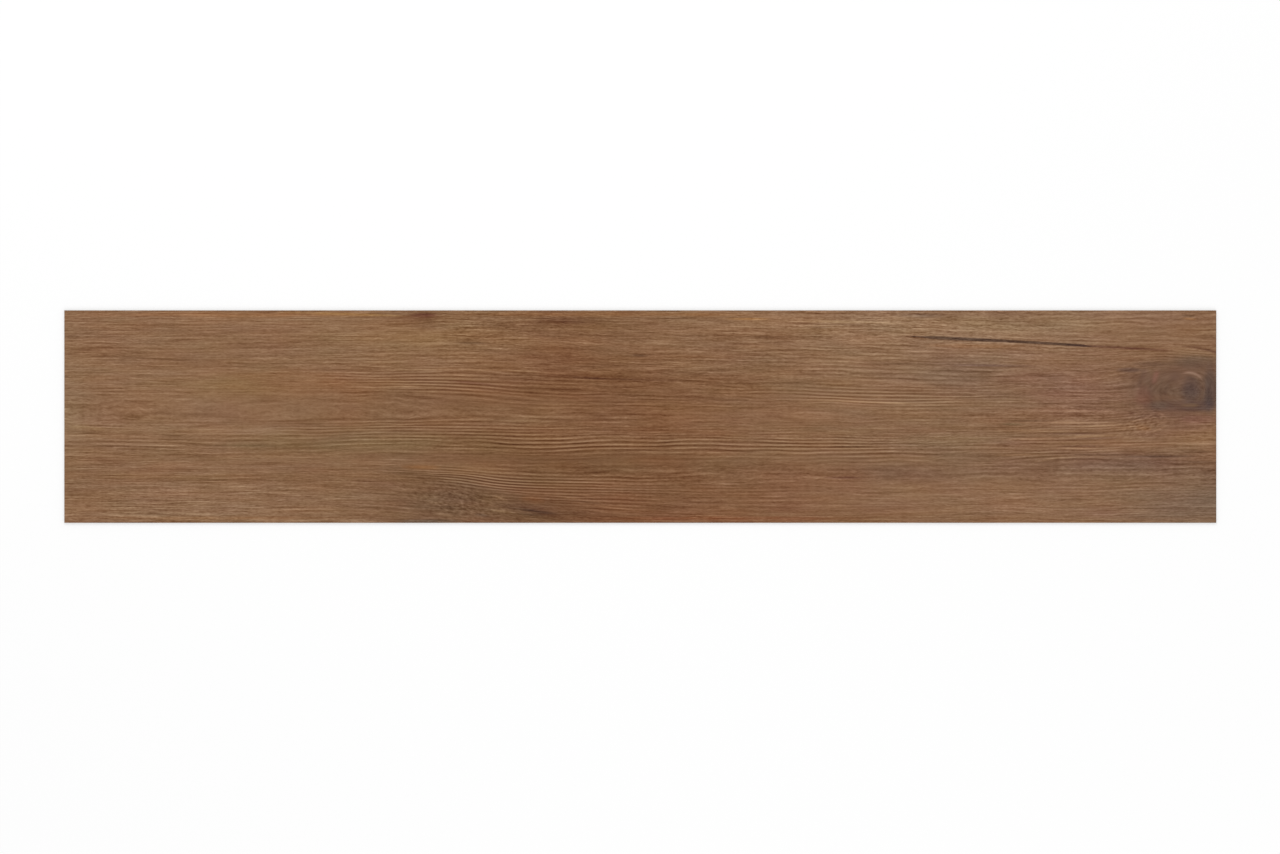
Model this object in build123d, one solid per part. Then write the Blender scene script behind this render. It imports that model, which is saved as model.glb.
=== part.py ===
"""Glue-down vinyl plank: one sheet of wood-look floor vinyl, punched to size and lying wear face up.

The origin is at the centre of the glue face. +X runs along the plank, +Y across it, and +Z up through
the wear face. All sizes are in millimetres.
"""

import os

from build123d import *

# Driving dimensions
PLANK_LENGTH = 1220.0
PLANK_WIDTH = 225.0
PLANK_THICKNESS = 2.5
ARRIS_RADIUS = 0.3  # the punch rolls the top edge over as it enters, all round the wear face


def make_plank():
    """The punched sheet: its outline raised to its thickness, with the arris of the wear face rolled over."""
    with BuildPart() as plank:
        with BuildSketch():
            Rectangle(PLANK_LENGTH, PLANK_WIDTH)
        extrude(amount=PLANK_THICKNESS)
        wear_face = plank.faces().sort_by(Axis.Z)[-1]
        fillet(wear_face.edges(), radius=ARRIS_RADIUS)
    return plank.part


def main():
    os.makedirs("parts", exist_ok=True)
    export_step(make_plank(), "parts/plank.step")


if __name__ == "__main__":
    main()
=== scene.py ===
"""Glue-down vinyl plank: a wood-print floor sheet with its cut edges and its back, on a plain white stage.

Laid out as a Blender add-on and run as a script. The sheet is one closed surface worked out with numpy. The
smooth fields of its print (the flow of the grain, the ground colour with a painted shade along its rim, the
crack) are worked out on it by formula and kept as attributes, and the shader nodes draw the fine grain along
them. Places on the print are in millimetres from the middle of the sheet, x along it to the right and y
across it towards the back edge.
Tones of the print are in display levels, of which white has 255.
"""

from collections import namedtuple

import bpy
import numpy as np
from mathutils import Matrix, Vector


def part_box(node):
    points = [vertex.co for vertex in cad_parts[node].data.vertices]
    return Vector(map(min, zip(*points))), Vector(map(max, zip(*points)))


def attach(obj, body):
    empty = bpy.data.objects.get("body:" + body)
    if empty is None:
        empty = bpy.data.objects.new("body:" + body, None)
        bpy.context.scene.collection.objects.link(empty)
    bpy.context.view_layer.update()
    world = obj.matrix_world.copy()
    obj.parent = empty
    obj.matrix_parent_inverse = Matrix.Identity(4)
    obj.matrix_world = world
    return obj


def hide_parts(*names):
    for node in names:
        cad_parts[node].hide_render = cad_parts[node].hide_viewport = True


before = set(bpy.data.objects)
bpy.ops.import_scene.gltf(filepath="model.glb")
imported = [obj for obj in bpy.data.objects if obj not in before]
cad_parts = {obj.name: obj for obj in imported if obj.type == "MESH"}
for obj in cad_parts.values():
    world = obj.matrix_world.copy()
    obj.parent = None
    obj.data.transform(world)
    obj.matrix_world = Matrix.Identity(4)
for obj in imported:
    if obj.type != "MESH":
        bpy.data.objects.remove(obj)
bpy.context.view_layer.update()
PLANK_LOW, PLANK_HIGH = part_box("plank")

bl_info = {
    "name": "Vinyl Plank",
    "version": (1, 0, 0),
    "blender": (4, 5, 0),
    "location": "View3D > Sidebar > Plank",
    "description": "Builds a wood-print glue-down floor plank and a white stage for it",
    "category": "Add Mesh",
}

MM = 0.001
LEVEL = 1.0 / 255.0

# Cells of the noise table each way, before it repeats
NOISE_CELLS = 64

# The glue face takes every so many of the wear face's grid lines, along the sheet and across it
GLUE_STRIDE_X = 12
GLUE_STRIDE_Y = 20

# How far the camera stands from over the plank's middle
CAMERA_ASIDE = (-0.31 * MM, -11.0 * MM)

# The print's features, given one by one. The lists below give each row in the order of these names
Swell = namedtuple("Swell", "x y reach_x reach_y fall")
Spot = namedtuple("Spot", "x y reach_x reach_y strength tilt", defaults=[0])
Patch = namedtuple("Patch", "x y reach_x reach_y red green blue tilt", defaults=[0])
Streak = namedtuple("Streak", "x0 y0 x1 y1 half red green blue bow", defaults=[0])
Arc = namedtuple("Arc", "x y radius_x radius_y start end half red green blue")
Knot = namedtuple("Knot", "x y left right up down")
Ease = namedtuple("Ease", "height reach rings")

# Where the grain's lines step down to the right, by how much and over what reach
SWELLS = [Swell(*row) for row in (
    (-551, 76, 64, 32, 2.6), (-397, 81, 53, 34, -3), (-249, 111, 37, 15, -3), (-80, 81, 85, 34, 8.5),
    (-170, 26, 58, 17, 8.5), (127, 33, 170, 30, 10.5), (339, 85, 127, 26, 9.5), (-551, -9, 64, 26, 2.6),
    (-313, -14, 64, 23, -2.5), (-148, -22, 30, 18, 3.2), (-68, -28, 26, 18, -3.4), (-5, -28, 20, 14, 1.8),
    (28, -27, 20, 10, -3.2), (118, -25, 42, 10, 3), (106, -4, 53, 17, 2.6), (423, -30, 53, 21, -2.1),
    (522, -10, 38, 15, -6), (531, -4, 14, 10, -5), (-254, -78, 58, 28, 6.5), (-172, -68, 26, 13, 6.6),
    (-148, -97, 48, 28, 9.5), (-32, -103, 74, 23, 8.5), (519, -94, 53, 23, -2.6),
)]

# Where the grain's lines arch up over the knot
KNOT_ARCHES = (Spot(553, 50, 48, 22, 7),)

# The grain height of the growth ring that counts as nought
RING_ZERO = -26

# Where the growth rings lie closer or wider than usual, and how many rings are gained there
RING_EASES = (Ease(-26, 7, -0.25), Ease(-62, 8, 0.6))

# Where the growth rings show as a comb of pale and dark lines
COMBS = [Spot(*row) for row in (
    (-80, -29, 75, 9, 0.78), (60, -31, 100, 8, 0.74), (208, -31, 82, 9, 0.66), (-140, -18, 70, 6, 0.3),
    (-262, -20, 110, 13, 0.38), (-520, -28, 80, 6, 0.4), (-178, -67, 48, 9, 0.95, -7),
    (-120, -71, 50, 10, 0.35, -6), (-70, -69, 70, 11, 0.6, -1), (-40, -90, 60, 10, 0.2, -7),
    (-205, 35, 88, 12, 0.75, -4), (-60, 20, 120, 14, 0.15, -4), (250, 20, 110, 9, 0.6, -2),
    (235, -43, 60, 7, 0.35), (270, 48, 110, 22, 0.28, -2), (60, -83, 130, 12, 0.16),
    (-200, -8, 130, 10, 0.3, 1), (460, -30, 80, 20, 0.3, 3), (528, -6, 22, 9, 0.1, 14),
    (500, -65, 90, 14, 0.1, 2),
)]

# Where the fine fibres are livelier or calmer than usual
FIBRES = [Spot(*row) for row in (
    (-420, 12, 120, 22, -0.5), (-150, 14, 150, 13, -0.35), (-460, 62, 90, 28, -0.2),
    (-160, 96, 60, 20, 0.6), (240, 97, 110, 20, 0.45), (370, 85, 90, 20, 0.2), (0, -28, 160, 14, 0.25),
    (250, -27, 60, 9, 0.3), (150, -4, 150, 13, -0.35), (480, 8, 60, 20, 0.25), (-170, -46, 220, 10, -0.4),
    (20, -46, 130, 7, -0.3), (330, -54, 90, 12, -0.2), (320, -82, 220, 26, -0.35),
    (-195, -90, 58, 18, -0.6), (-450, -90, 90, 18, 0.15), (536, -7, 34, 15, -0.25),
    (200, -46, 90, 8, -0.25), (540, 94, 65, 18, -0.32), (530, -18, 75, 18, -0.2),
    (230, 20, 75, 18, -0.16), (380, -92, 75, 18, 0.18), (-380, -20, 75, 18, -0.17),
    (-230, 92, 75, 18, -0.11), (75, 92, 75, 18, 0.12), (75, 55, 75, 18, 0.16), (-530, -92, 75, 18, 0.18),
    (-530, 92, 75, 18, 0.1),
)]

# How strongly the broad patches show in each colour
PATCH_STRENGTH = (1.27, 1.27, 1.36)

# Broad patches of the ground, as display levels added to it
PATCHES = [Patch(*row) for row in (
    (-604, 0, 16, 60, 5, 8, 7), (-520, 0, 120, 95, 3, 3, 3), (-430, 34, 60, 14, 2, 3, -2),
    (-320, 34, 70, 12, 5, 0, -2), (-225, 84, 90, 24, 6, 6, 2), (-232, 104, 28, 7, -13, -15, -12),
    (-80, 65, 90, 34, -5, -8, -8), (-40, 27, 165, 26, -9, -11, -11), (20, -12, 90, 22, -5, -9, -9),
    (-280, -28, 170, 13, -5, 0, -2), (-140, -28, 90, 22, -6, -8, -8), (-30, -50, 165, 17, -13, -13, -13),
    (-195, -92, 80, 28, -20, -15, -10, -4), (10, -95, 120, 30, -10, -14, -13),
    (190, -85, 70, 26, -1, -4, -3), (210, 60, 80, 48, 4, 5, 5), (390, 97, 130, 13, 5, 8, 7),
    (350, 88, 180, 20, 6, 6, 6), (150, 102, 70, 9, 8, 7, 5), (-450, 104, 170, 9, 5, 4, 3),
    (340, 45, 60, 28, -3, 2, 6), (320, -35, 80, 28, -3, 0, 2), (460, 28, 60, 30, -1, -2, 4),
    (490, -50, 80, 11, -9, -6, 0), (560, -45, 60, 16, -4, -3, 0), (595, -92, 70, 26, -10, -1, 6),
    (594, -27, 26, 8, 8, 7, 5), (400, -85, 130, 22, 4, 4, 5), (-88, 101, 45, 5, -10, -10, -7),
    (-440, -90, 120, 22, 5, 6, 6), (-200, -8, 120, 16, -2, -3, -3), (-230, 18, 80, 18, -3, -3, -3),
    (300, -59, 160, 9, -5, -4, -1), (-80, -101, 55, 14, -9, -8, -6, -4), (-110, -80, 60, 14, -3, -4, -4),
    (535, 1, 40, 9, -6, -5, -1), (420, 70, 120, 14, 4, 4, 4), (335, 91, 60, 9, 6, 6, 5),
    (-150, 104, 55, 6, -5, -4, -4), (-70, 95, 65, 5, -5, -4, -5), (130, 35, 90, 5, -6, -6, -6, -3),
    (335, -24, 45, 6, 4, 6, 4), (550, -47, 45, 7, -4, -4, -3), (0, 75, 60, 6, 4, 5, 4),
    (-130, -5, 38, 6, 4, 6, 5), (-415, -15, 48, 6, 5, 5, 5), (-590, 45, 34, 8, 5, 5, 4),
    (-175, -56, 42, 3.5, 7, 6, 4), (-475, -25, 32, 5, -5, -4, -4), (-228, -66, 42, 7, -7, -6, -6, -3),
    (-150, -94, 36, 6, 6, 5, 4, -6), (-300, 88, 55, 8, 4, 4, 3), (-300, 66, 45, 5, 4, 4, 3),
    (150, 86, 65, 7, -2, -2, -3), (455, -36, 42, 5, -3, -4, -2), (-420, -65, 190, 4, -3, -3, -4),
    (-500, -105, 100, 5, 2, 4, 4), (510, 14, 32, 7, -5, -4, -3), (576, -6, 30, 9, -6, -6, -2),
    (604, -61, 16, 7, -13, -10, -6), (397, 41, 32, 6, 8, 5, 5), (556, 104, 56, 9, 2, 2, 4),
    (-178, -109, 22, 4, 6, 3, 2), (-167, 107, 20, 4, -6, -6, -5), (232, -108, 42, 4, -7, -6, -6),
    (-100, -70, 24, 5, -5, -5, -6), (54, 109, 28, 4, 5, 4, 2), (-604, -56, 12, 8, -5, -6, -6),
    (-506, -2, 22, 5, -6, -6, -6), (-197, 75, 26, 5, -6, -5, -4), (207, 36, 24, 5, -4, -5, -6),
    (275, 82, 22, 5, -5, -6, -5), (-304, 11, 24, 5, -5, -4, -3), (52, -54, 28, 5, -5, -4, -3),
    (-7, -4, 24, 5, -5, -3, -3), (-32, 90, 24, 5, -5, -5, -4), (-604, -107, 14, 6, 7, 6, 6),
    (-122, -107, 28, 5, -10, -8, -7), (540, -19, 22, 5, -4, -5, -2), (490, 7, 18, 5, 5, 4, 4),
    (-215, 95, 26, 5, -5, -5, -4), (378, -64, 26, 5, -5, -4, -4), (116, 75, 24, 5, -3, -5, -5),
    (494, -103, 30, 6, 2, 2, 4), (500, -58, 24, 5, -3, -4, -4), (-600, 98, 16, 14, 3, 3, 3),
    (-390, -80, 26, 5, 4, 3, 2), (400, 109, 240, 4, 3, 3, 4), (472, 86, 24, 5, 4, 3, 3),
    (579, -35, 20, 4, 4, 4, 4), (395, -27, 24, 5, 3, 2, 4), (205, 93, 75, 4, 4, 4, 3),
    (257, -1, 26, 5, 4, 3, 3), (323, 10, 24, 5, 2, 4, 3), (-178, -101, 18, 4, 6, 5, 5),
    (-165, -88, 16, 7, -5, -4, -5), (570, -80, 26, 6, 4, 2, 1),
)]

# Where short flecks cross the grain at a tilt of their own, as display levels either way
FLECKS = (Spot(-192, -90, 54, 19, 95, -10), Spot(533, -8, 30, 15, 80, 10))

# The knot: its eye, how far its rings reach to each side, and over what distance those reaches blend
KNOT = Knot(585, 26, 60, 24, 27, 21)
KNOT_BLEND = 12
KNOT_BODY = Spot(573, 31, 53, 26, 1)

# The knot's own ground, in flat-topped patches, darkest at the eye
KNOT_PATCHES = [Patch(*row) for row in (
    (572, 33, 58, 28, -26, -19, -9), (592, 58, 25, 7, -13, -8, -3), (583, 27, 10, 13, -19, -12, -3),
    (582, 31, 6, 4, -6, -5, -4), (604, 29, 7, 25, -19, -11, -2), (600, 13, 11, 8, -13, -9, -2),
    (571, 11.5, 42, 6, -15, -11, -5), (518, 49.5, 13, 2.6, -22, -15, -5), (519, 44, 12, 4, -9, -8, -6),
    (540, 56, 17, 3, -11, -10, -7), (533, 21, 9, 12, 2, -3, 0), (550, 12, 9, 5, -3, 0, 2),
    (583, 12, 9, 2, 14, 13, 6), (588, 8, 17, 3, -13, -9, -4), (554, 70, 9, 4, -7, -7, -6),
    (588, -12, 24, 3.5, -6, -6, -5), (592, -3, 20, 5, 5, 1, 6), (597, 30, 6, 14, -7, -5, -3),
    (606, 26, 5, 12, -6, -5, -4), (601, 17, 5, 5, -6, -5, -4), (516, 37, 5, 7, 7, 7, 6),
    (557, 20, 5, 8, 6, 5, 4), (566, 43, 6, 6, -6, -5, -3), (543, 24, 5, 12, -5, -4, -3),
    (529, 11, 5, 3, 9, 9, 7), (521, 4, 3, 2.5, -10, -10, -8), (582, 2, 26, 6, -6, -5, -3),
    (530, 55, 28, 2.5, -6, -5, -4), (536, 43, 5, 8, -5, -4, 0),
)]

# Stretches of the knot's rings that stand out, from a start to an end in degrees
KNOT_ARCS = [Arc(*row) for row in (
    (580, 31, 17.6, 15.7, 24, 118, 1.4, 36, 34, 33), (580, 31, 17.6, 15.7, -35, 34, 1.8, 9, 7, 5),
    (580, 30, 12.5, 11.5, 10, 115, 1.8, -9, -6, -4), (585, 27, 45, 46, 152, 214, 1.6, -6, -5, -4),
    (585, 27, 34, 34, 140, 220, 1.6, -5, -4, -3), (585, 27, 39, 40, 176, 216, 1.5, 4, 4, 3),
    (585, 27, 42, 45, 148, 174, 3, 15, 6, 9), (585, 27, 50, 50, 148, 176, 3.2, 4, 5, 3),
    (585, 27, 57, 52, 150, 178, 2.2, -11, -9, -6), (580, 25, 24, 21, 120, 250, 2.2, -5, -4, -2),
)]

# Streaks up to this half width print as lines, stronger than their levels say
LINE_HALF = 1.2
LINE_STRENGTH = 1.55

# Single streaks and smudges that stand out of the grain
STREAKS = [Streak(*row) for row in (
    (-604, 65, -470, 59, 1, -18, -17, -16, 0.6), (-604, 71, -570, 70, 0.9, -14, -14, -13),
    (-588, -28.6, -478, -32, 0.9, 13, 13, 13, 0.2), (-588, -30.2, -478, -33.6, 0.9, -17, -16, -15),
    (-495, -30.3, -350, -31.5, 0.9, -14, -12, -12), (-562, 4, -400, 2, 1.4, -11, -11, -10),
    (-552, 0.5, -526, -1.5, 3, -34, -32, -32), (-606, -10.5, -566, -13, 2.6, 18, 18, 11),
    (-606, -16.5, -560, -17.5, 1.2, -16, -15, -14), (-600, -66, -440, -68, 1.6, -8, -8, -7),
    (-512, 81.2, -456, 78.8, 0.9, -12, -12, -11), (-512, -39.5, -470, -39, 1.6, -15, -14, -14),
    (-600, 107.5, -260, 107, 2.6, 9, 0, -6, 1), (-390, 110.5, -240, 106, 1.4, 22, 19, 5, 0.5),
    (-258, 105.5, -206, 106.5, 2.6, -9, -11, -8, 0.6), (-244, 107.4, -215, 107.4, 2.2, -16, -21, -14),
    (-200, 108.5, 140, 108, 2.2, 9, 1, -6), (-268, 32.4, -226, 32, 0.9, 23, 22, 20),
    (-226, 31.6, -104, 18, 0.9, 15, 14, 13, 1.6), (-206, 37.6, -150, 33, 1, -18, -20, -14, 0.4),
    (-190, 40.1, -112, 30.2, 0.8, 12, 12, 11), (-300, 47.5, -60, 43.5, 0.9, 20, 19, 17, 4.5),
    (-104, 45.5, 70, 38, 1.1, -17, -16, -14, -2.2), (-76, 41.6, -10, 39, 1, -22, -20, -17, -0.4),
    (-14, 65, 10, 64.5, 1.1, -32, -28, -24), (8, 64, 110, 62.5, 1.4, -14, -16, -16),
    (-128, 101, -56, 99.5, 2, -16, -17, -16), (-106, 100.2, -76, 99.8, 1.4, -9, -9, -13),
    (308, 83.8, 334, 82.6, 1.4, -13, -14, -16), (426, 78.2, 446, 77.4, 1.3, -8, -9, -9),
    (-266, -9.2, -238, -8.4, 0.8, 14, 14, 13), (-150, -4.2, -106, -4.4, 0.8, 13, 13, 11),
    (195, -31.6, 258, -32, 0.9, -16, -15, -14), (-82, -90.3, -5, -99.2, 0.9, 15, 14, 13),
    (-158, -91, -80, -105, 5, -19, -17, -14, 0.5), (-138, -97, -88, -103.6, 1.5, -28, -21, -16, 0.6),
    (-86, -84.4, -58, -88.8, 0.8, 10, 9, 8), (-158, -92, -130, -98, 1.3, -14, -13, -12),
    (-142, -100.8, -106, -102.8, 0.8, 16, 16, 16, 0.1), (-128, -86, -100, -90, 4, 6, -1, -6),
    (-255, -53, -210, -54, 2.8, 10, 2, -6), (-234, -84.2, -213, -86.2, 1, 9, 9, 8),
    (-228, -90, -205, -92.4, 1, 17, 17, 15), (-220, -101.4, -198, -105, 1, 24, 24, 21),
    (-238, -106.6, -214, -108.4, 1, 5, 5, 5), (-156, -84, -141, -88.6, 1.1, 34, 32, 29),
    (-160, -98.4, -134, -102, 1.2, 31, 30, 26), (-130, -102.8, -98, -105, 1.3, -17, -13, -10),
    (-262, -110.6, -186, -110.8, 1.5, -28, -13, -3), (-200, -80.6, -182, -84, 1, 16, 16, 14),
    (-182, -86.6, -168, -90, 0.9, -17, -16, -15), (-212, -94.2, -194, -96.8, 1, -11, -10, -9),
    (-176, -103, -158, -105.6, 1.6, -10, -5, 0), (-84, -78.2, -46, -84.9, 0.8, 13, 12, 11),
    (-74, -88, -42, -92.8, 0.9, -15, -13, -11), (512, -8.6, 534, -2.4, 0.9, 13, 12, 10, 0.6),
    (508, -14, 530, -8.6, 0.9, 12, 11, 9, 0.6), (520, -4.4, 540, 2.4, 0.9, -11, -10, -9, 0.6),
    (547, 4.6, 558, -1.6, 1.1, 18, 16, 14, 0.4), (540, 6.6, 549, 2, 0.9, 12, 11, 10, 0.3),
    (543, 2.4, 553, -4, 1, -11, -10, -8, 0.3), (524, -11.4, 542, -13.4, 2.6, 8, 1, -6, 0.6),
    (-255, -60.5, -130, -60, 0.9, 10, 10, 8), (-50, -108, 250, -108, 2.4, 3, -8, -10),
    (-600, -107, -300, -107.5, 2, 5, -1, -5), (135, 101.6, 300, 97.5, 1.2, 20, 20, 17, 0.8),
    (150, 98.6, 250, 96.6, 0.9, -18, -17, -15, 0.4), (178, 94.8, 206, 94, 1, -23, -21, -18),
    (84, 103.8, 138, 103.2, 0.9, 15, 7, -5), (95, 84, 160, 84, 1.2, -21, -20, -18),
    (268, 107.4, 324, 106.4, 2.4, -13, -7, 0), (236, 87.4, 258, 86.6, 0.9, -17, -14, -14),
    (300, 75.5, 405, 74.5, 2.4, 8, 0, -6), (272, 85.6, 322, 82.9, 1.4, -15, -18, -16),
    (446, 76.2, 568, 69.6, 1.2, -34, -36, -27, 0.1), (496, 41, 530, 43.5, 2.6, -12, -12, -10),
    (572, 74.8, 628, 60.5, 1.3, -42, -42, -34, 3.1), (330, 54.8, 420, 53.4, 1.2, -24, -23, -16),
    (232, 56.6, 330, 55.6, 1.1, -15, -14, -12), (186, 17.4, 328, 12.2, 0.9, 26, 25, 21, -0.2),
    (244, 20.8, 262, 20.2, 0.9, 26, 25, 22), (195, -64.4, 236, -64.8, 1.1, -26, -26, -19),
    (380, -7.6, 408, -8.4, 1.2, -18, -12, -11), (508, -42.4, 590, -42, 1.2, -18, -14, -10),
    (570, -36.6, 612, -37, 0.9, -22, -20, -18), (574, -47.8, 612, -48.6, 1, -24, -22, -20),
    (414, -48.4, 442, -43.2, 1, 18, 17, 15, -0.3), (396, -6, 508, -6.3, 0.9, 27, 25, 22),
    (386, -4.2, 444, -4.7, 0.9, -22, -19, -17), (408, 8, 522, 4.2, 0.9, 20, 18, 17, 0.4),
    (454, -11.5, 512, -8.2, 0.9, 15, 14, 11), (444, -22.4, 514, -19.4, 0.9, 22, 20, 16, 0.3),
    (374, -14.4, 474, -15.4, 0.9, 23, 21, 18), (378, -24.6, 450, -22.6, 0.9, 14, 11, 9, 0.2),
    (434, -33.3, 486, -33.8, 0.9, 18, 16, 14), (466, -36.4, 514, -34.1, 0.9, 22, 20, 18),
    (432, -44, 512, -42.4, 0.9, 13, 13, 11, 0.5), (450, -52, 526, -54.7, 0.9, 4, 4, 4),
    (372, -40.9, 432, -40.1, 0.9, 26, 24, 21), (424, -18.4, 502, -17.2, 0.9, -18, -18, -13),
    (436, -25.2, 514, -22.4, 0.9, -22, -21, -17, 0.3), (440, -31.6, 494, -31, 0.9, -20, -19, -14),
    (446, -40.8, 526, -40.2, 1, -16, -15, -12, 0.3), (438, -45.4, 484, -44.2, 0.9, -23, -22, -18, 0.2),
    (540, -17.4, 559, -9.6, 1, 17, 15, 13, 0.5), (546, -9.6, 558, -5, 1, 10, 9, 8, 0.3),
    (540, 9.4, 546, 4.4, 1.8, -12, -11, -8), (545, 9.6, 554, 6.4, 1.3, -11, -10, -8),
    (-500, -13.5, -378, -13.7, 0.9, 12, 12, 11), (574, 104.2, 590, 102.8, 0.9, 34, 23, 9),
    (572, 107.2, 588, 106.4, 1, -20, -16, -14), (479, 19.4, 488, 18.6, 1.2, 16, 15, 14),
    (-100, -81.4, -50, -89.6, 0.8, 10, 10, 9, -0.3), (-612, 42.4, -604, 41.4, 1.2, -26, -23, -19),
    (-196, 78.2, -158, 77, 1.1, -25, -22, -19), (-214, -64.2, -184, -69.6, 0.9, 14, 13, 12, 0.1),
    (-196, -60.8, -146, -66, 0.9, 12, 12, 11, 0.2), (-186, -68, -146, -75.8, 0.9, 13, 12, 11, 0.2),
    (-470, -66, -438, -66.8, 1, -13, -12, -11),
)]

# Painted shade at the rim, for the rolled arris turned from the light: how much darker the print is painted
# right at its rim, in display levels, and how far in that reaches
RIM_SHADE = 10
RIM_REACH = 1.1

# The dark crack: from its fine left end to its blunt right end, and how far it bows up on the way
CRACK = Streak(288, 84.9, 476, 74.6, 2, -60, -50, -39, 0.6)

# Shares of the emboss depth in the furrows between rings and in dark marks, and what counts as fully dark
FURROW_SHARE = 0.35
DARK_SHARE = 0.3
DARK_LEVELS = 40


class PlankSizes(bpy.types.PropertyGroup):
    """The sheet's sizes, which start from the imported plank."""

    length: bpy.props.FloatProperty(
        name="Length", description="Along the grain", default=PLANK_HIGH.x - PLANK_LOW.x, unit="LENGTH")
    width: bpy.props.FloatProperty(
        name="Width", description="Across the grain", default=PLANK_HIGH.y - PLANK_LOW.y, unit="LENGTH")
    thickness: bpy.props.FloatProperty(
        name="Thickness", description="From glue face to wear face", default=PLANK_HIGH.z - PLANK_LOW.z,
        unit="LENGTH")
    arris: bpy.props.FloatProperty(
        name="Rolled arris", description="Radius that the punch leaves round the wear face",
        default=0.3 * MM, unit="LENGTH", precision=5)
    emboss: bpy.props.FloatProperty(
        name="Emboss depth", description="How deep the deepest grain line is pressed", default=0.16 * MM,
        unit="LENGTH", precision=5)
    ring_spacing: bpy.props.FloatProperty(
        name="Ring spacing", description="From one growth ring to the next", default=3.8 * MM, unit="LENGTH",
        precision=5)
    row_step: bpy.props.FloatProperty(
        name="Row step", description="Mesh step across the grain", default=0.76 * MM, unit="LENGTH",
        precision=5)
    column_step: bpy.props.FloatProperty(
        name="Column step", description="Mesh step along the grain", default=6.0 * MM, unit="LENGTH",
        precision=5)
    wedge_step: bpy.props.FloatProperty(
        name="Wedge step", description="Mesh step along the grain in the smoky wedge", default=2.5 * MM,
        unit="LENGTH", precision=5)
    knot_step: bpy.props.FloatProperty(
        name="Knot step", description="Mesh step along the grain by the knot", default=1.5 * MM,
        unit="LENGTH", precision=5)


class PlankColours(bpy.types.PropertyGroup):
    """The colours of the print, the cut edge and the back."""

    ground: bpy.props.FloatVectorProperty(
        name="Ground", description="Mean colour of the wood print, as displayed",
        default=(0.5455, 0.402, 0.285), subtype="COLOR_GAMMA", min=0, max=1)
    core: bpy.props.FloatVectorProperty(
        name="Core", description="Filled vinyl that shows in the cut edge", default=(0.270, 0.245, 0.215),
        subtype="COLOR", min=0, max=1)
    film: bpy.props.FloatVectorProperty(
        name="Print film", description="Edge of the printed film", default=(0.075, 0.040, 0.022),
        subtype="COLOR", min=0, max=1)
    wear: bpy.props.FloatVectorProperty(
        name="Wear layer", description="Cut edge of the clear wear layer over the print",
        default=(0.190, 0.110, 0.062), subtype="COLOR", min=0, max=1)
    back: bpy.props.FloatVectorProperty(
        name="Back", description="Sanded glue face", default=(0.215, 0.200, 0.182), subtype="COLOR",
        min=0, max=1)


class PlankStage(bpy.types.PropertyGroup):
    """The floor, light and camera."""

    floor: bpy.props.FloatVectorProperty(
        name="Floor", description="Colour of the floor", default=(0.66, 0.66, 0.66), subtype="COLOR",
        min=0, max=1)
    floor_size: bpy.props.FloatProperty(
        name="Floor size", description="Side of the square floor", default=24.0, unit="LENGTH")
    dome: bpy.props.FloatProperty(
        name="Dome", description="Even light from all round", default=0.62, min=0)
    lamps: bpy.props.FloatProperty(
        name="Lamps", description="Power of the larger soft lamp", default=42.0, unit="POWER")
    lens: bpy.props.FloatProperty(
        name="Lens", description="Focal length of the camera", default=100.0, unit="CAMERA")
    view_width: bpy.props.FloatProperty(
        name="View width", description="Width of the wear face's plane that the picture takes in",
        default=1.3555, unit="LENGTH")


# Numpy fields of the print

def hill(x, y, spot):
    """A rounded hill: e to the minus of the squared distance from its middle, in the spot's reaches."""
    turn = np.radians(spot.tilt)
    along = ((x - spot.x) * np.cos(turn) + (y - spot.y) * np.sin(turn)) / spot.reach_x
    across = ((y - spot.y) * np.cos(turn) - (x - spot.x) * np.sin(turn)) / spot.reach_y
    return np.exp(-(along ** 2 + across ** 2))


def hills(x, y, spots):
    """The sum of the spots' hills, each times its strength."""
    return sum(spot.strength * hill(x, y, spot) for spot in spots)


def lattice_noise(u, v, seed):
    """Smooth noise from -1 to 1: random values on whole numbers, with a fifth-degree step between them."""
    table = np.random.default_rng(seed).uniform(-1, 1, (NOISE_CELLS, NOISE_CELLS))
    column = np.floor(u).astype(int)
    row = np.floor(v).astype(int)
    s = u - column
    t = v - row
    s = s ** 3 * (s * (s * 6 - 15) + 10)
    t = t ** 3 * (t * (t * 6 - 15) + 10)
    left = column % NOISE_CELLS
    right = (column + 1) % NOISE_CELLS
    near = row % NOISE_CELLS
    far = (row + 1) % NOISE_CELLS
    low = table[left, near] * (1 - s) + table[right, near] * s
    high = table[left, far] * (1 - s) + table[right, far] * s
    return low * (1 - t) + high * t


def grain_height(x, y):
    """Which grain line a point is on: y, plus each swell's fall times a smooth step along x and a hill
    across y, less the knot's arches. A line of equal height steps down to the right through each swell."""
    height = y - hills(x, y, KNOT_ARCHES)
    for swell in SWELLS:
        step = 0.5 * np.tanh((x - swell.x) / swell.reach_x)
        height = height + swell.fall * step * np.exp(-((y - swell.y) / swell.reach_y) ** 2)
    return height


def streak_weight(x, y, streak):
    """How much of a streak a point takes: e to the minus of its squared distance from the streak's bowed
    line in half widths. The half width tapers as a half sine, and lattice noise thins it here and there."""
    t = np.clip((x - streak.x0) / (streak.x1 - streak.x0), 0, 1)
    line = streak.y0 + (streak.y1 - streak.y0) * t + streak.bow * 4 * t * (1 - t)
    taper = np.sin(np.pi * t) ** 0.6 + 1e-4
    gap = (y - line) / (streak.half * (0.45 + 0.55 * taper))
    body = np.exp(-np.minimum(gap ** 2, 50))
    wear = 0.85 + 0.3 * lattice_noise(x / 13, y / 1.6, 3)
    return body * taper * wear


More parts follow.
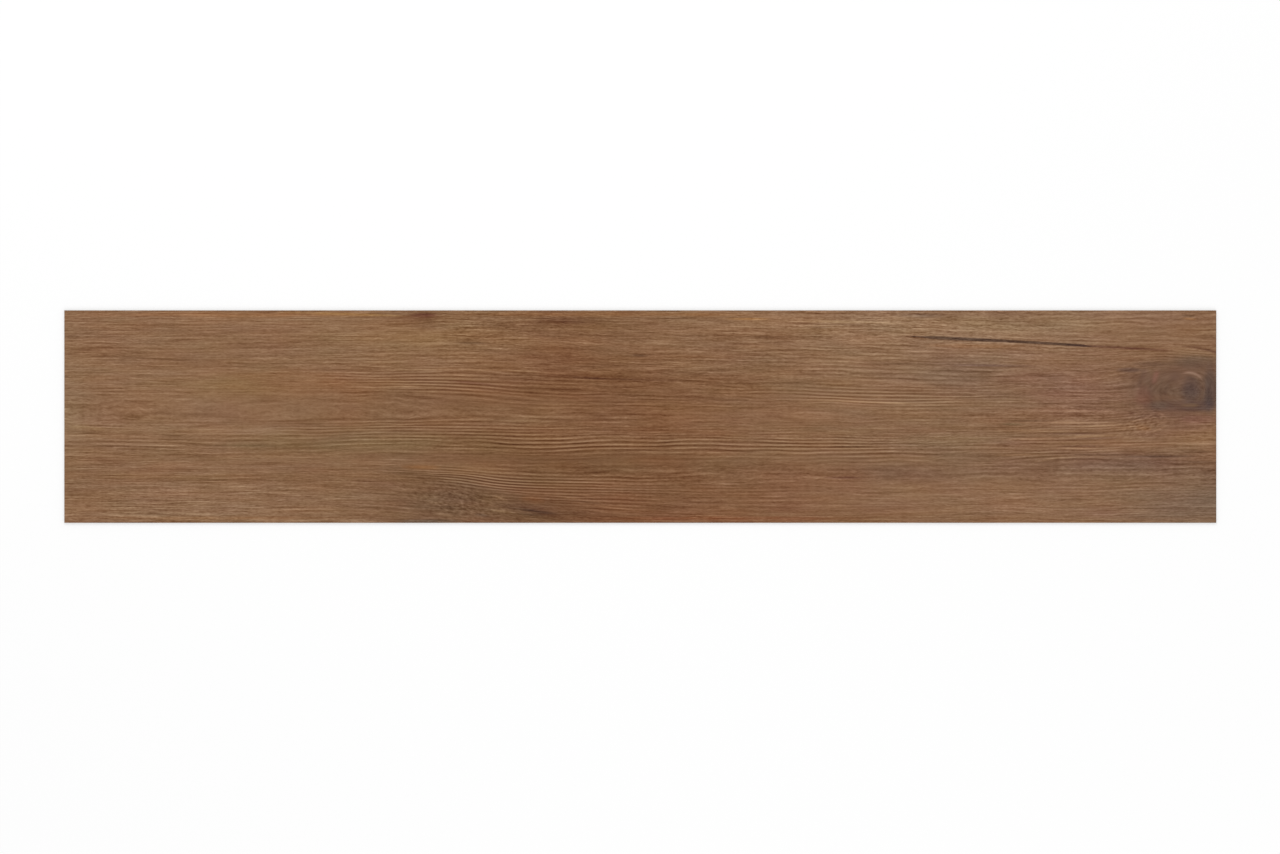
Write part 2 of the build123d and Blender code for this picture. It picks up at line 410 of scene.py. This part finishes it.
def arc_weight(x, y, arc):
    """How much of an arc a point takes: e to the minus of its squared distance from the ellipse in half
    widths, faded at both ends of the arc's turn."""
    u = (x - arc.x) / arc.radius_x
    v = (y - arc.y) / arc.radius_y
    reach = np.hypot(u, v)
    mean_radius = 0.5 * (arc.radius_x + arc.radius_y)
    gap = (reach - 1) * mean_radius / arc.half
    middle = np.radians(0.5 * (arc.start + arc.end))
    half_turn = np.radians(0.5 * (arc.end - arc.start))
    off = np.abs(np.angle(np.exp(1j * (np.arctan2(v, u) - middle)))) / half_turn
    fade = np.clip(1.6 * (1 - off), 0, 1)
    return np.exp(-np.minimum(gap ** 2, 50)) * fade * fade * (3 - 2 * fade)


def fleck_flow(x, y):
    """The way of the short flecks: along them, across them and their strength. Across is y less x times each
    spot's slope, and where spots meet each slope counts by its spot's hill."""
    weights = [hill(x, y, spot) for spot in FLECKS]
    slopes = [np.tan(np.radians(spot.tilt)) * (x - spot.x) for spot in FLECKS]
    shear = sum(weight * slope for weight, slope in zip(weights, slopes))
    across = y - shear / np.maximum(sum(weights), 1e-9)
    return np.stack([x, across, LEVEL * hills(x, y, FLECKS)], -1)


def tint(weight, mark):
    """A weight times a mark's three display levels, as the last axis."""
    return weight[..., None] * np.array([mark.red, mark.green, mark.blue])


def ground_colour(x, y, colour):
    """The print without its fine grain, in display colour: the ground, plus every patch, streak and arc of
    the print, each as its weight times its levels."""
    levels = np.array(colour) / LEVEL + np.zeros((*x.shape, 3))
    for patch in PATCHES:
        levels += tint(hill(x, y, patch), patch) * PATCH_STRENGTH
    for patch in KNOT_PATCHES:
        levels += tint(plateau(x, y, patch), patch)
    for streak in STREAKS:
        strength = LINE_STRENGTH if streak.half <= LINE_HALF else 1
        levels += strength * tint(streak_weight(x, y, streak), streak)
    for arc in KNOT_ARCS:
        levels += tint(arc_weight(x, y, arc), arc)
    return np.clip(levels * LEVEL, 0, 1)


def rim_shade(x, y, sizes):
    """Painted shade at the rim, in display levels: the rim shade times e to the minus of the squared
    distance from the nearest edge in rim reaches. It stands in for the rolled arris turning from the light;
    the left end, which faces the light, has none."""
    gap = np.minimum(0.5 * sizes.length / MM - x, 0.5 * sizes.width / MM - np.abs(y))
    return RIM_SHADE * np.exp(-(gap / RIM_REACH) ** 2)


def crack_gap(x, y):
    """Distance from the crack's line in half widths, signed, and far off past its ends. The line bows up by
    a cubic, highest two thirds of the way. The crack opens fast from its left end, thins and ends blunt."""
    t = (x - CRACK.x0) / (CRACK.x1 - CRACK.x0)
    inside = np.clip(t, 0, 1)
    line = CRACK.y0 + (CRACK.y1 - CRACK.y0) * inside + CRACK.bow * 6.75 * inside ** 2 * (1 - inside)
    opening = np.clip(inside / 0.12, 0.3, 1) * (1 - 0.3 * inside) * np.clip((1 - inside) / 0.015, 0.4, 1)
    past = np.maximum(np.abs(t - 0.5) - 0.5, 0) * 60
    gap = (y - line) / (CRACK.half * opening)
    return np.clip(gap + np.sign(gap) * past, -8, 8)


def plateau(x, y, spot):
    """A flat-topped hill: e to the minus of the fourth power of the distance from its middle in reaches."""
    return np.exp(-np.log(np.maximum(hill(x, y, spot), 1e-30)) ** 2)


def knot_rings(x, y):
    """The knot's own flow: the distance from its eye on ellipses, whose reach slides from one side's to the
    other's by a tanh, and the turn about the eye. The last axis is the turn's cosine, its sine and the
    distance."""
    mean_x = 0.5 * (KNOT.left + KNOT.right)
    mean_y = 0.5 * (KNOT.up + KNOT.down)
    reach_x = mean_x + (KNOT.right - mean_x) * np.tanh((x - KNOT.x) / KNOT_BLEND)
    reach_y = mean_y + (KNOT.up - mean_y) * np.tanh((y - KNOT.y) / KNOT_BLEND)
    u = (x - KNOT.x) / reach_x
    v = (y - KNOT.y) / reach_y
    distance = np.hypot(u, v) + 1e-6
    return np.stack([u / distance, v / distance, distance * mean_y], -1)


def print_fields(x, y, sizes, colours):
    """Every field of the print at the points x, y: flow (along, across and ring count), figure (comb and
    fibre strengths and the knot's share), ground colour with a painted shade along the rim, the flows of the
    knot and the flecks, and the crack's gap. The ring count is the grain height in ring spacings, eased by a
    tanh about each ease and nudged by noise except where the comb is strong."""
    across = grain_height(x, y)
    spacing = sizes.ring_spacing / MM
    comb = np.clip(hills(x, y, COMBS), 0, 1.2)
    nudge = 0.55 * lattice_noise(x / 90, across / 11, 5) + 0.3 * lattice_noise(x / 34, across / 5, 6)
    eased = sum(ease.rings * np.tanh((across - ease.height) / ease.reach) for ease in RING_EASES)
    ring = (across - RING_ZERO) / spacing + eased + nudge * np.clip(1 - comb, 0.06, 1)
    fibre = 1.0 + hills(x, y, FIBRES)
    return {
        "grain_flow": np.stack([x, across, ring], -1),
        "figure": np.stack([comb, fibre, plateau(x, y, KNOT_BODY)], -1),
        # Ground colour less painted shade: the print darkened at the rim where the rolled arris turns from
        # the light
        "print_with_painted_shade": ground_colour(x, y, colours.ground) - rim_shade(x, y, sizes)[..., None] * LEVEL,
        "knot_flow": knot_rings(x, y),
        "fleck_flow": fleck_flow(x, y),
        "crack_gap": crack_gap(x, y),
    }


def pressed_depth(fields):
    """Share of the emboss depth pressed into the wear face: a groove in the crack, a furrow between ring
    lines where the comb shows, and a little in the darker marks."""
    groove = np.exp(-0.7 * fields["crack_gap"] ** 2)
    comb = fields["figure"][..., 0]
    furrow = 0.5 - 0.5 * np.cos(2 * np.pi * fields["grain_flow"][..., 2])
    shade = fields["print_with_painted_shade"].mean(-1)
    dark = np.clip((shade.mean() - shade) / (DARK_LEVELS * LEVEL), 0, 1)
    return np.maximum(groove, np.clip(FURROW_SHARE * comb * furrow + DARK_SHARE * dark, 0, 1))


# The sheet's surface

def arris_lines(radius):
    """Distances from an edge to the arris's five grid lines: the radius times one less a cosine."""
    return radius * (1 - np.cos(np.linspace(0, np.pi / 2, 5)))


def grid_lines(low, high, radius, steps):
    """Grid lines from low to high: the arris at both ends, and one run for each (end, step) between them."""
    lines = [low + arris_lines(radius)]
    start = low + radius
    for end, step in steps:
        count = max(1, round((end - start) / step))
        lines.append(np.linspace(start, end, count + 1)[1:])
        start = end
    lines.append((high - arris_lines(radius))[::-1][1:])
    return np.concatenate(lines)


def arris_drop(distance, radius):
    """How far the wear face rolls down at a distance from an edge: the radius less its circle's height."""
    inward = np.clip(radius - distance, 0, radius)
    return radius - np.sqrt(radius ** 2 - inward ** 2)


def every(count, stride):
    """Indices 0 to count - 1 in strides, with the last one always in."""
    return np.unique(np.append(np.arange(0, count, stride), count - 1))


def grid_quads(columns, rows, first):
    """Vertex indices of each quad of a columns by rows grid, anticlockwise from above, from first on."""
    corner = first + np.arange(columns - 1)[:, None] * rows + np.arange(rows - 1)
    return np.stack([corner, corner + rows, corner + rows + 1, corner + 1], -1).reshape(-1, 4)


def wall_panels(rim, foot, picked, flip):
    """One flat face for each stretch between two foot vertices: those two, then its run of the rim."""
    panels = []
    for index in range(len(picked) - 1):
        run = rim[picked[index]:picked[index + 1] + 1]
        panel = [foot[index], foot[index + 1], *run[::-1]]
        panels.append(panel[::-1] if flip else panel)
    return panels


def sheet_surface(sizes, colours):
    """The closed sheet: a fine grid over the wear face, at the thickness less the arris drop and the pressed
    depth, flat walls down to a coarse grid over the glue face, and the print's fields at every vertex."""
    half_length = 0.5 * sizes.length
    half_width = 0.5 * sizes.width
    radius = sizes.arris
    wedge_from, wedge_to, knot_from = -260 * MM, -60 * MM, 500 * MM
    press_reach = 2 * MM
    xs = grid_lines(-half_length, half_length, radius, (
        (wedge_from, sizes.column_step), (wedge_to, sizes.wedge_step),
        (knot_from, sizes.column_step), (half_length - radius, sizes.knot_step)))
    ys = grid_lines(-half_width, half_width, radius, ((half_width - radius, sizes.row_step),))
    x, y = np.meshgrid(xs, ys, indexing="ij")
    fields = print_fields(x / MM, y / MM, sizes, colours)
    edge_x = half_length - np.abs(x)
    edge_y = half_width - np.abs(y)
    drop = np.maximum(arris_drop(edge_x, radius), arris_drop(edge_y, radius))
    inland = np.clip((np.minimum(edge_x, edge_y) - radius) / press_reach, 0, 1)
    z = sizes.thickness - drop - sizes.emboss * pressed_depth(fields) * inland
    top = np.stack([x, y, z], -1).reshape(-1, 3)

    picked_x = every(len(xs), GLUE_STRIDE_X)
    picked_y = every(len(ys), GLUE_STRIDE_Y)
    low_x, low_y = np.meshgrid(xs[picked_x], ys[picked_y], indexing="ij")
    bottom = np.stack([low_x, low_y, np.zeros_like(low_x)], -1).reshape(-1, 3)
    points = np.concatenate([top, bottom])

    rim = np.arange(len(top)).reshape(len(xs), len(ys))
    foot = len(top) + np.arange(len(bottom)).reshape(low_x.shape)
    wear = grid_quads(len(xs), len(ys), 0)
    glue = grid_quads(*low_x.shape, len(top))[:, ::-1]
    walls = [
        wall_panels(rim[:, 0], foot[:, 0], picked_x, False),
        wall_panels(rim[:, -1], foot[:, -1], picked_x, True),
        wall_panels(rim[-1, :], foot[-1, :], picked_y, False),
        wall_panels(rim[0, :], foot[0, :], picked_y, True),
    ]
    faces = wear.tolist() + [panel for wall in walls for panel in wall] + glue.tolist()
    kinds = np.repeat(np.arange(6), [len(wear), *(len(wall) for wall in walls), len(glue)])
    blank = print_fields(low_x / MM, low_y / MM, sizes, colours)
    joined = {name: np.concatenate([field.reshape(len(top), -1), blank[name].reshape(len(bottom), -1)])
              for name, field in fields.items()}
    return points, faces, kinds, joined


def bake_places(points, kinds, sizes):
    """Where each face corner lies on the flat map: the wear face over most of the square, the glue face in a
    band under it, and the four walls as thin strips below that, each with its length along the map."""
    share_x = points[:, 0] / sizes.length + 0.5
    share_y = points[:, 1] / sizes.width + 0.5
    share_z = points[:, 2] / sizes.thickness
    wear_low, glue_low, glue_high = 0.150, 0.040, 0.142
    strip = 0.009
    gap = 0.003
    end_share = 0.45
    u = np.select([kinds == 3, kinds == 4], [share_y * end_share, 1 - share_y * end_share], share_x)
    v = np.select(
        [kinds == 0, kinds == 5, kinds == 1, kinds == 2],
        [wear_low + share_y * (1 - wear_low), glue_low + share_y * (glue_high - glue_low),
         share_z * strip + strip + gap, share_z * strip + 2 * (strip + gap)],
        share_z * strip)
    return np.stack([u, v], -1)


def add_sheet_mesh(sizes, colours):
    """The sheet's mesh: smooth wear face, flat walls and back, fields as attributes, and a flat map."""
    points, faces, kinds, fields = sheet_surface(sizes, colours)
    mesh = bpy.data.meshes.new("vinyl_plank")
    mesh.from_pydata(points.tolist(), [], faces)
    material_of_kind = np.array([0, 1, 1, 1, 1, 2])
    mesh.polygons.foreach_set("material_index", material_of_kind[kinds].astype(np.int32))
    mesh.polygons.foreach_set("use_smooth", kinds == 0)
    for name, field in fields.items():
        kind, slot = ("FLOAT", "value") if field.shape[1] == 1 else ("FLOAT_VECTOR", "vector")
        attribute = mesh.attributes.new(name, kind, "POINT")
        attribute.data.foreach_set(slot, field.astype(np.float32).ravel())
    corner_point = np.empty(len(mesh.loops), np.int32)
    mesh.loops.foreach_get("vertex_index", corner_point)
    sides = np.empty(len(mesh.polygons), np.int32)
    mesh.polygons.foreach_get("loop_total", sides)
    places = bake_places(points[corner_point], np.repeat(kinds, sides), sizes)
    mesh.uv_layers.new(name="OFBake").data.foreach_set("uv", places.astype(np.float32).ravel())
    mesh.update()
    return mesh


# Materials

class NodeBench:
    """Adds nodes to one material or world and joins them. Most methods return their last node's output."""

    def __init__(self, owner):
        self.owner = owner
        owner.use_nodes = True
        self.tree = owner.node_tree
        self.tree.nodes.clear()
        self.count = 0

    def node(self, kind, inputs=(), **settings):
        """A node with its settings and inputs, each input a (socket, value or output) pair."""
        made = self.tree.nodes.new(kind)
        made.location = (190 * (self.count // 6), -210 * (self.count % 6))
        self.count += 1
        for name, value in settings.items():
            setattr(made, name, value)
        for socket, value in inputs:
            if isinstance(value, bpy.types.NodeSocket):
                self.tree.links.new(value, made.inputs[socket])
            else:
                made.inputs[socket].default_value = value
        return made

    def math(self, operation, *values):
        return self.node("ShaderNodeMath", enumerate(values), operation=operation).outputs[0]

    def vector(self, operation, *values):
        return self.node("ShaderNodeVectorMath", enumerate(values), operation=operation).outputs[0]

    def field(self, name, output="Vector"):
        return self.node("ShaderNodeAttribute", attribute_name=name).outputs[output]

    def split(self, vector):
        return self.node("ShaderNodeSeparateXYZ", [(0, vector)]).outputs

    def weighted(self, *parts):
        """The sum of several outputs, each times its weight."""
        result = 0
        for output, weight in parts:
            result = self.math("MULTIPLY_ADD", output, weight, result)
        return result

    def scaled(self, colour, amount):
        """A colour times an amount."""
        inputs = [(0, tuple(colour)), ("Scale", amount)]
        return self.node("ShaderNodeVectorMath", inputs, operation="SCALE").outputs[0]

    def mixed(self, share, first, second):
        """The first colour, with a share of the second in its place."""
        inputs = [(0, share), (6, first), (7, second)]
        return self.node("ShaderNodeMix", inputs, data_type="RGBA").outputs[2]

    def ramp(self, value, start, end, low=0.0, high=1.0):
        """A smooth step from low at start to high at end."""
        made = self.node("ShaderNodeMapRange", [(0, value), (1, start), (2, end), (3, low), (4, high)],
                         interpolation_type="SMOOTHSTEP")
        return made.outputs[0]

    def streaks(self, flow, length, width, shift, roughness=0.5, detail=1.0):
        """Noise drawn out along the flow to streaks of a length and width in millimetres, about zero."""
        place = self.vector("MULTIPLY_ADD", flow, (1 / length, 1 / width, 0), (shift, 1.7 * shift, 0))
        return self.math("SUBTRACT", self.noise(place, 1, detail, roughness, "2D"), 0.5)

    def noise(self, place, scale, detail, roughness=0.5, dimensions="3D"):
        """Noise from zero to one at a place."""
        inputs = [("Vector", place), ("Scale", scale), ("Detail", detail), ("Roughness", roughness)]
        return self.node("ShaderNodeTexNoise", inputs, noise_dimensions=dimensions).outputs[0]

    def seen(self):
        """One for a ray whose end shows in the picture, straight, mirrored or through, zero for others."""
        path = self.node("ShaderNodeLightPath").outputs
        bent = self.math("MAXIMUM", path["Is Glossy Ray"], path["Is Transmission Ray"])
        return self.math("MAXIMUM", path["Is Camera Ray"], bent)

    def surface(self, colour, roughness, shine, relief, depth, height):
        """A Principled surface whose bump has the relief as its strength and the depth as its distance."""
        bump = self.node("ShaderNodeBump", [("Strength", relief), ("Distance", depth), ("Height", height)])
        return self.node("ShaderNodeBsdfPrincipled", [
            ("Base Color", colour), ("Roughness", roughness), ("Specular IOR Level", shine),
            ("Normal", bump.outputs[0])]).outputs[0]

    def finish(self, surface):
        """Joins the surface to an output node and returns the material or world."""
        kind = "World" if isinstance(self.owner, bpy.types.World) else "Material"
        self.node("ShaderNodeOutput" + kind, [("Surface", surface)])
        return self.owner


def ring_lines(bench, ring, comb, fibre, flow):
    """Growth rings: a pale line at each whole ring count and a dark one between. Each line comes and goes
    along itself, less so where the comb is strong, and fades where the fibres are calm."""
    counts = (ring, bench.math("ADD", ring, 0.46))
    pale, dark = [bench.ramp(bench.math("PINGPONG", count, 0.5), 0.05, 0.26, 1, 0) for count in counts]
    lines = bench.math("SUBTRACT", pale, dark)
    vary = bench.ramp(bench.streaks(flow, 55, 3.4, 31), -0.12, 0.2)
    loose = bench.math("MULTIPLY", bench.math("MULTIPLY", vary, fibre), 0.38)
    strength = bench.math("MULTIPLY_ADD", comb, 0.95, loose)
    return bench.math("MULTIPLY", lines, strength)


def knot_grain(bench, rounds):
    """Fine grain round the knot's eye: noise drawn out along the rings, in two widths."""
    places = (
        bench.vector("MULTIPLY_ADD", rounds, (1.6, 1.6, 1 / 2.6), (7, 3, 5)),
        bench.vector("MULTIPLY_ADD", rounds, (3.4, 3.4, 1 / 1.5), (2, 9, 4)))
    wide, thin = [bench.math("SUBTRACT", bench.noise(place, 1, 1, 0.6), 0.5) for place in places]
    return bench.weighted((wide, 28 * LEVEL), (thin, 35 * LEVEL))


def wear_face_material(sizes):
    """The wood print under its satin wear layer. All tones add up in display colour, and one Gamma node
    turns the sum to light."""
    bench = NodeBench(bpy.data.materials.new("wood_print"))
    flow = bench.field("grain_flow")
    comb, fibre, knot = bench.split(bench.field("figure"))
    # The print's ground colour, with painted shade along the rim in it
    ground = bench.field("print_with_painted_shade")
    gap = bench.field("crack_gap", "Fac")
    ring = bench.split(flow)[2]

    bands = bench.streaks(flow, 150, 9, 4)
    strands = bench.streaks(flow, 110, 3.2, 17, 0.6)
    wave = bench.streaks(flow, 11, 6, 37)
    wavy = bench.vector("MULTIPLY_ADD", wave, (0, 1.9, 0), flow)
    hairs = bench.streaks(wavy, 34, 1.6, 11, 0.7)
    fibres = bench.streaks(wavy, 6, 1.3, 23, 0.7)
    pores = bench.ramp(bench.streaks(wavy, 18, 0.9, 47, 0.4), 0.12, 0.24)
    dashes = bench.ramp(bench.streaks(wavy, 26, 1.05, 59, 0.4), 0.12, 0.24)
    grit = bench.streaks(wavy, 6, 0.2, 97, 0.6)
    pinholes = bench.ramp(bench.streaks(wavy, 4, 0.16, 103, detail=0), 0.14, 0.24)
    rings = ring_lines(bench, ring, comb, fibre, flow)
    slant = bench.field("fleck_flow")
    flecks = bench.streaks(slant, 5.5, 2.1, 61, 0.6)

    fine = bench.weighted(
        (strands, 28 * LEVEL), (hairs, 46 * LEVEL), (fibres, 36 * LEVEL), (dashes, 11 * LEVEL),
        (grit, 26 * LEVEL), (pinholes, -14 * LEVEL), (pores, -12 * LEVEL))
    calm = bench.math("MULTIPLY_ADD", comb, -0.6, fibre)
    along = bench.weighted(
        (fine, calm), (bands, 14 * LEVEL), (flecks, bench.split(slant)[2]), (rings, 32 * LEVEL))
    rounds = knot_grain(bench, bench.field("knot_flow"))
    tone = bench.node("ShaderNodeMix", [(0, knot), (2, along), (3, rounds)], data_type="FLOAT").outputs[0]

    torn = bench.math("MULTIPLY_ADD", grit, 2, fibres)
    ragged = bench.math("MULTIPLY_ADD", torn, 0.15, bench.math("ABSOLUTE", gap))
    crack = bench.ramp(ragged, 0.55, 1.2, 1, 0)
    crack_levels = (CRACK.red * LEVEL, CRACK.green * LEVEL, CRACK.blue * LEVEL)
    crack_tone = bench.vector("MULTIPLY", crack, crack_levels)

    warmth = bench.streaks(flow, 70, 13, 71)
    moss = bench.streaks(flow, 60, 16, 83)
    warm = bench.vector("MULTIPLY", warmth, (5 * LEVEL, 0, -5 * LEVEL))
    hue = bench.vector("MULTIPLY_ADD", moss, (-3 * LEVEL, 3 * LEVEL, 0), warm)

    shifted = bench.vector("MULTIPLY_ADD", tone, (1, 0.99, 0.96), bench.vector("ADD", ground, hue))
    marked = bench.vector("ADD", shifted, crack_tone)
    colour = bench.node("ShaderNodeGamma", [(0, marked), (1, 2.2)]).outputs[0]

    rough = bench.math("MULTIPLY_ADD", tone, -0.9, 0.54)
    height = bench.weighted((tone, 1.6), (pores, -0.12))
    return bench.finish(bench.surface(colour, rough, 0.25, 0.35, 0.5 * sizes.emboss, height))


def cut_edge_material(sizes, colours):
    """The punched edge, told apart by height: a thin clear wear layer, a dark line of print film, and filled
    core with fine upright drag marks."""
    bench = NodeBench(bpy.data.materials.new("cut_edge"))
    place = bench.node("ShaderNodeTexCoord").outputs["Object"]
    height = bench.split(place)[2]
    drawn = bench.vector("MULTIPLY", place, (1400, 1400, 160))
    drag = bench.noise(drawn, 1, 2)
    speck = bench.noise(place, 3200, 1)
    film_top = sizes.thickness - 0.50 * MM
    film_low = sizes.thickness - 0.62 * MM
    soft = 0.03 * MM
    in_core = bench.ramp(height, film_low + soft, film_low - soft)
    in_wear = bench.ramp(height, film_top - soft, film_top + soft)
    mottle = bench.math("MULTIPLY_ADD", bench.math("ADD", drag, speck), 0.35, 0.65)
    core = bench.scaled(colours.core, mottle)
    film_or_core = bench.mixed(in_core, (*colours.film, 1), core)
    colour = bench.mixed(in_wear, film_or_core, (*colours.wear, 1))
    rough = bench.math("MULTIPLY_ADD", drag, 0.25, 0.5)
    return bench.finish(bench.surface(colour, rough, 0.3, 0.4, 0.04 * MM, drag))


def glue_face_material(colours):
    """The back: grey filled vinyl, sanded along its length, with a fine pressed pebble and cloudy tone."""
    bench = NodeBench(bpy.data.materials.new("sanded_back"))
    place = bench.node("ShaderNodeTexCoord").outputs["Object"]
    drawn = bench.vector("MULTIPLY", place, (22, 1300, 1))
    scratch = bench.noise(drawn, 1, 3, 0.6)
    pebble = bench.node("ShaderNodeTexVoronoi", [
        ("Vector", place), ("Scale", 620.0)], feature="SMOOTH_F1").outputs[0]
    cloud = bench.noise(place, 16, 4)
    mottle = bench.weighted((scratch, 0.30), (pebble, 0.22), (cloud, 0.36))
    colour = bench.scaled(colours.back, bench.math("ADD", mottle, 0.60))
    height = bench.math("MULTIPLY_ADD", scratch, 0.5, pebble)
    rough = bench.math("MULTIPLY_ADD", scratch, 0.2, 0.6)
    return bench.finish(bench.surface(colour, rough, 0.25, 0.5, 0.10 * MM, height))


def floor_material(stage):
    """White floor: it takes shadows, a little glow of its own for the camera lifts it to white, more so far
    out where the lamps don't reach, and it is clear from below so that the back can be seen."""
    bench = NodeBench(bpy.data.materials.new("white_floor"))
    place = bench.node("ShaderNodeTexCoord").outputs["Object"]
    far = bench.node("ShaderNodeVectorMath", [(0, place)], operation="LENGTH").outputs["Value"]
    lift = bench.ramp(far, 1.4, 5.0, 0.43, 0.59)
    glow = bench.node("ShaderNodeEmission", [
        ("Color", (1, 1, 1, 1)), ("Strength", bench.math("MULTIPLY", bench.seen(), lift))]).outputs[0]
    matt = bench.node("ShaderNodeBsdfDiffuse", [("Color", (*stage.floor, 1))]).outputs[0]
    lit = bench.node("ShaderNodeAddShader", [(0, matt), (1, glow)]).outputs[0]
    clear = bench.node("ShaderNodeBsdfTransparent").outputs[0]
    behind = bench.node("ShaderNodeNewGeometry").outputs["Backfacing"]
    return bench.finish(bench.node("ShaderNodeMixShader", [(0, behind), (1, lit), (2, clear)]).outputs[0])


# The stage

def add_object(name, data):
    """An object in the scene that holds the data."""
    made = bpy.data.objects.new(name, data)
    bpy.context.scene.collection.objects.link(made)
    return made


def add_floor(stage, sizes):
    """A square floor just under the glue face, with an opening that the plank covers, so that light reaches
    its back from below."""
    below = -0.03 * MM
    lap = 0.1 * MM
    signs = np.array([(-1, -1), (1, -1), (1, 1), (-1, 1)])
    outer = signs * 0.5 * stage.floor_size
    inner = signs * (0.5 * sizes.length - lap, 0.5 * sizes.width - lap)
    corners = np.concatenate([outer, inner])
    points = np.column_stack([corners, np.full(len(corners), below)])
    mesh = bpy.data.meshes.new("floor")
    mesh.from_pydata(points.tolist(), [], [(k, (k + 1) % 4, (k + 1) % 4 + 4, k + 4) for k in range(4)])
    mesh.materials.append(floor_material(stage))
    floor = add_object("floor", mesh)


def add_lamp(name, place, size, power):
    """A soft square lamp that points at the middle of the plank."""
    light = bpy.data.lights.new(name, "AREA")
    light.shape = "SQUARE"
    light.size = size
    light.energy = power
    lamp = add_object(name, light)
    lamp.location = place
    lamp.rotation_euler = (-Vector(place)).to_track_quat("-Z", "Y").to_euler()


def set_dome(stage):
    """An even white world: the dome level lights the plank, and rays that show the background see white."""
    bench = NodeBench(bpy.data.worlds.new("white_dome"))
    level = bench.ramp(bench.seen(), 0, 1, stage.dome, 1)
    background = bench.node("ShaderNodeBackground", [("Color", (1, 1, 1, 1)), ("Strength", level)])
    bpy.context.scene.world = bench.finish(background.outputs[0])


def add_camera(stage, wear_height):
    """A camera that looks straight down on the wear face from where the view width fills the picture."""
    lens = bpy.data.cameras.new("camera")
    lens.lens = stage.lens
    lens.sensor_width = 36.0
    lens.clip_end = 60.0
    camera = add_object("camera", lens)
    distance = stage.view_width * stage.lens / lens.sensor_width
    camera.location = (*CAMERA_ASIDE, wear_height + distance)
    bpy.context.scene.camera = camera


class PLANK_OT_build_sheet(bpy.types.Operator):
    """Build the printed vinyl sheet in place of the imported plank"""

    bl_idname = "plank.build_sheet"
    bl_label = "Build Sheet"

    def execute(self, context):
        sizes = context.scene.plank_sizes
        colours = context.scene.plank_colours
        if sizes.arris >= 0.5 * min(sizes.width, sizes.thickness):
            raise ValueError("the rolled arris has to be smaller than half the sheet")
        sheet = add_object("vinyl_plank", add_sheet_mesh(sizes, colours))
        sheet.data.materials.append(wear_face_material(sizes))
        sheet.data.materials.append(cut_edge_material(sizes, colours))
        sheet.data.materials.append(glue_face_material(colours))
        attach(sheet, "root")
        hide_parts("plank")
        return {"FINISHED"}


class PLANK_OT_set_stage(bpy.types.Operator):
    """Set the white floor, the soft light and the camera"""

    bl_idname = "plank.set_stage"
    bl_label = "Set Stage"

    def execute(self, context):
        stage = context.scene.plank_stage
        context.scene.view_settings.view_transform = "Standard"
        add_floor(stage, context.scene.plank_sizes)
        set_dome(stage)
        add_lamp("window_lamp", (-0.7, 3.0, 3.0), 1.8, stage.lamps)
        add_lamp("fill_lamp", (0.9, -3.0, 2.6), 2.4, 0.6 * stage.lamps)
        add_camera(stage, context.scene.plank_sizes.thickness)
        return {"FINISHED"}


class VIEW3D_PT_plank(bpy.types.Panel):
    """Lists the plank's settings and its two operators"""

    bl_label = "Vinyl Plank"
    bl_space_type = "VIEW_3D"
    bl_region_type = "UI"
    bl_category = "Plank"

    def draw(self, context):
        for settings, operator in (
                (("plank_sizes", "plank_colours"), PLANK_OT_build_sheet),
                (("plank_stage",), PLANK_OT_set_stage)):
            for group_name in settings:
                group = getattr(context.scene, group_name)
                for name in group.__annotations__:
                    self.layout.prop(group, name)
            self.layout.operator(operator.bl_idname)


CLASSES = (PlankSizes, PlankColours, PlankStage, PLANK_OT_build_sheet, PLANK_OT_set_stage, VIEW3D_PT_plank)


def register():
    for item in CLASSES:
        bpy.utils.register_class(item)
    bpy.types.Scene.plank_sizes = bpy.props.PointerProperty(type=PlankSizes)
    bpy.types.Scene.plank_colours = bpy.props.PointerProperty(type=PlankColours)
    bpy.types.Scene.plank_stage = bpy.props.PointerProperty(type=PlankStage)


def unregister():
    del bpy.types.Scene.plank_stage
    del bpy.types.Scene.plank_colours
    del bpy.types.Scene.plank_sizes
    for item in reversed(CLASSES):
        bpy.utils.unregister_class(item)


def main():
    register()
    bpy.ops.plank.build_sheet()
    bpy.ops.plank.set_stage()


if __name__ == "__main__":
    main()
